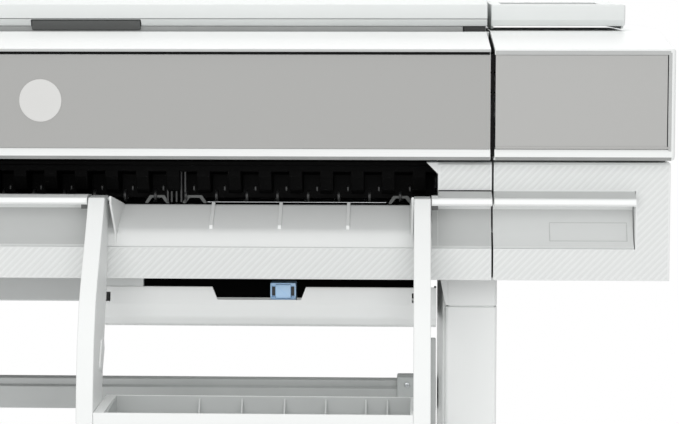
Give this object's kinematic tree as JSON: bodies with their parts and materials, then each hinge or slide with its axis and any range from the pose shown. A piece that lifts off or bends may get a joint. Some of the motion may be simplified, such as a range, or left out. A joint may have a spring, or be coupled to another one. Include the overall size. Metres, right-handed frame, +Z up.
{
  "type": "large format plotter",
  "caption": "Floor-standing wide printer with a scanner on top, hinged covers, a hanging sheet stacker, a lower tray and a two-legged stand on casters.",
  "frame": {"origin": "on the floor, under the middle of the machine", "axes": "+X to the operator's right, -Y towards the operator, +Z up"},
  "size_m": [1.392, 0.695, 1.02],
  "materials": {
    "white_casing": "fine spark-eroded texture",
    "grey_panel": "satin",
    "light_casing": "fine texture",
    "dark_plastic": "fine texture",
    "black_plastic": "satin",
    "stand_metal": "powder coat",
    "frame_metal": "powder coat",
    "bare_steel": "brushed",
    "roller_rubber": "matt",
    "glass": "polished",
    "blue_latch": "gloss",
    "ink_cyan": "satin",
    "ink_magenta": "satin",
    "ink_yellow": "satin",
    "ink_black": "satin"
  },
  "bodies": {
    "base": {"left_leg": "stand_metal", "right_leg": "stand_metal", "left_foot": "stand_metal", "right_foot": "stand_metal", "cross_brace": "frame_metal", "base_pan": "frame_metal", "left_chassis_plate": "bare_steel", "right_chassis_plate": "bare_steel", "roll_trough": "dark_plastic", "rear_cover": "light_casing", "front_panel": "white_casing", "left_lower_cover": "white_casing", "right_lower_cover": "white_casing", "left_upper_cover": "white_casing", "right_upper_cover": "white_casing", "scanner_bed": "white_casing", "scanner_glass": "glass", "scanner_sensor_bar": "black_plastic", "control_housing": "white_casing", "feed_motor": "frame_metal", "carriage_rail": "bare_steel", "carriage_belt": "roller_rubber", "carriage_motor": "frame_metal", "platen": "black_plastic", "starwheel_bar": "black_plastic", "service_station": "dark_plastic", "ink_bay": "dark_plastic", "electronics_box": "dark_plastic"},
    "top_cover": {"main_cover": "white_casing", "main_cover_panel": "grey_panel"},
    "scan_lid": {"scanner_lid": "white_casing"},
    "ink_access_door": {"ink_door": "grey_panel"},
    "roll_lid": {"roll_cover": "light_casing"},
    "display": {"control_panel": "dark_plastic", "touch_screen": "glass"},
    "power_key": {"power_button": "dark_plastic"},
    "print_carriage": {"carriage": "black_plastic"},
    "drive_pulley": {"belt_drive_pulley": "bare_steel"},
    "idler_pulley": {"belt_idler_pulley": "bare_steel"},
    "paper_roller": {"feed_roller": "bare_steel"},
    "motor_pinion": {"feed_pinion": "light_casing"},
    "spindle": {"roll_spindle": "dark_plastic"},
    "scan_roller": {"scanner_feed_roller": "roller_rubber"},
    "stacker": {"stacker_arm_left": "white_casing", "stacker_arm_right": "white_casing", "stacker_bin": "white_casing"},
    "tray": {"lower_tray": "light_casing"},
    "latch": {"tray_latch": "blue_latch"},
    "cartridge_cyan": {"ink_cartridge_cyan": "ink_cyan"},
    "cartridge_magenta": {"ink_cartridge_magenta": "ink_magenta"},
    "cartridge_yellow": {"ink_cartridge_yellow": "ink_yellow"},
    "cartridge_black": {"ink_cartridge_black": "ink_black"},
    "caster_front_left": {"caster_fork_front_left": "frame_metal"},
    "wheel_front_left": {"caster_wheel_front_left": "roller_rubber"},
    "caster_rear_left": {"caster_fork_rear_left": "frame_metal"},
    "wheel_rear_left": {"caster_wheel_rear_left": "roller_rubber"},
    "caster_front_right": {"caster_fork_front_right": "frame_metal"},
    "wheel_front_right": {"caster_wheel_front_right": "roller_rubber"},
    "caster_rear_right": {"caster_fork_rear_right": "frame_metal"},
    "wheel_rear_right": {"caster_wheel_rear_right": "roller_rubber"}
  },
  "joints": [
    {"name": "top_cover_hinge", "type": "hinge", "parent": "base", "child": "top_cover", "pos_m": [0, -0.034, 0.962], "axis": [-1, 0, 0], "range_deg": [0, 68]},
    {"name": "scanner_lid_hinge", "type": "hinge", "parent": "base", "child": "scan_lid", "pos_m": [-0.08, 0.232, 0.986], "axis": [-1, 0, 0], "range_deg": [0, 75]},
    {"name": "ink_door_hinge", "type": "hinge", "parent": "base", "child": "ink_access_door", "pos_m": [0.594, -0.1629, 0.8454], "axis": [1, 0, 0], "range_deg": [0, 85]},
    {"name": "roll_cover_hinge", "type": "hinge", "parent": "base", "child": "roll_lid", "pos_m": [0, 0.244, 0.958], "axis": [1, 0, 0], "range_deg": [0, 75]},
    {"name": "display_tilt", "type": "hinge", "parent": "base", "child": "display", "pos_m": [0.572, 0.025, 0.998], "axis": [1, 0, 0], "range_deg": [0, 40]},
    {"name": "power_press", "type": "slide", "parent": "base", "child": "power_key", "axis": [0, 0, -1], "range_m": [0, 0.0015], "stiffness_N_per_m": 600},
    {"name": "carriage_travel", "type": "slide", "parent": "base", "child": "print_carriage", "axis": [-1, 0, 0], "range_m": [0, 0.975]},
    {"name": "drive_pulley_spin", "type": "hinge", "parent": "base", "child": "drive_pulley", "pos_m": [0.672, 0.03, 0.908], "axis": [0, 1, 0], "range_deg": [-4900, 10]},
    {"name": "idler_pulley_spin", "type": "hinge", "parent": "base", "child": "idler_pulley", "pos_m": [-0.47, 0.03, 0.908], "axis": [0, 1, 0], "range_deg": [-4900, 10]},
    {"name": "paper_roller_spin", "type": "hinge", "parent": "base", "child": "paper_roller", "pos_m": [0, 0.062, 0.762], "axis": [1, 0, 0], "continuous": true},
    {"name": "motor_pinion_spin", "type": "hinge", "parent": "base", "child": "motor_pinion", "pos_m": [-0.507, 0.1035, 0.762], "axis": [1, 0, 0], "continuous": true},
    {"name": "spindle_spin", "type": "hinge", "parent": "base", "child": "spindle", "pos_m": [0, 0.208, 0.742], "axis": [1, 0, 0], "continuous": true},
    {"name": "scan_roller_spin", "type": "hinge", "parent": "base", "child": "scan_roller", "pos_m": [0, 0.052, 0.971], "axis": [1, 0, 0], "continuous": true},
    {"name": "stacker_hinge", "type": "hinge", "parent": "base", "child": "stacker", "pos_m": [0.24, -0.128, 0.7836], "axis": [-1, 0, 0], "range_deg": [0, 60]},
    {"name": "tray_hinge", "type": "hinge", "parent": "base", "child": "tray", "pos_m": [0.247, 0.032, 0.64], "axis": [1, 0, 0], "range_deg": [0, 30]},
    {"name": "latch_push", "type": "slide", "parent": "tray", "child": "latch", "axis": [0, 1, 0], "range_m": [0, 0.004], "stiffness_N_per_m": 400},
    {"name": "cyan_pull", "type": "slide", "parent": "base", "child": "cartridge_cyan", "axis": [0, -1, 0], "range_m": [0, 0.008]},
    {"name": "magenta_pull", "type": "slide", "parent": "base", "child": "cartridge_magenta", "axis": [0, -1, 0], "range_m": [0, 0.008]},
    {"name": "yellow_pull", "type": "slide", "parent": "base", "child": "cartridge_yellow", "axis": [0, -1, 0], "range_m": [0, 0.008]},
    {"name": "black_pull", "type": "slide", "parent": "base", "child": "cartridge_black", "axis": [0, -1, 0], "range_m": [0, 0.008]},
    {"name": "swivel_front_left", "type": "hinge", "parent": "base", "child": "caster_front_left", "pos_m": [-0.478, -0.3, 0.067], "axis": [0, 0, 1], "continuous": true},
    {"name": "roll_front_left", "type": "hinge", "parent": "caster_front_left", "child": "wheel_front_left", "pos_m": [-0.478, -0.29, 0.028], "axis": [1, 0, 0], "continuous": true},
    {"name": "swivel_rear_left", "type": "hinge", "parent": "base", "child": "caster_rear_left", "pos_m": [-0.478, 0.3, 0.067], "axis": [0, 0, 1], "continuous": true},
    {"name": "roll_rear_left", "type": "hinge", "parent": "caster_rear_left", "child": "wheel_rear_left", "pos_m": [-0.478, 0.31, 0.028], "axis": [1, 0, 0], "continuous": true},
    {"name": "swivel_front_right", "type": "hinge", "parent": "base", "child": "caster_front_right", "pos_m": [0.478, -0.3, 0.067], "axis": [0, 0, 1], "continuous": true},
    {"name": "roll_front_right", "type": "hinge", "parent": "caster_front_right", "child": "wheel_front_right", "pos_m": [0.478, -0.29, 0.028], "axis": [1, 0, 0], "continuous": true},
    {"name": "swivel_rear_right", "type": "hinge", "parent": "base", "child": "caster_rear_right", "pos_m": [0.478, 0.3, 0.067], "axis": [0, 0, 1], "continuous": true},
    {"name": "roll_rear_right", "type": "hinge", "parent": "caster_rear_right", "child": "wheel_rear_right", "pos_m": [0.478, 0.31, 0.028], "axis": [1, 0, 0], "continuous": true}
  ],
  "couplings": [
    {"joint": "drive_pulley_spin", "follows": "carriage_travel", "rad_per_m": -86.957},
    {"joint": "idler_pulley_spin", "follows": "carriage_travel", "rad_per_m": -86.957},
    {"joint": "motor_pinion_spin", "follows": "paper_roller_spin", "ratio": -2.6667}
  ]
}
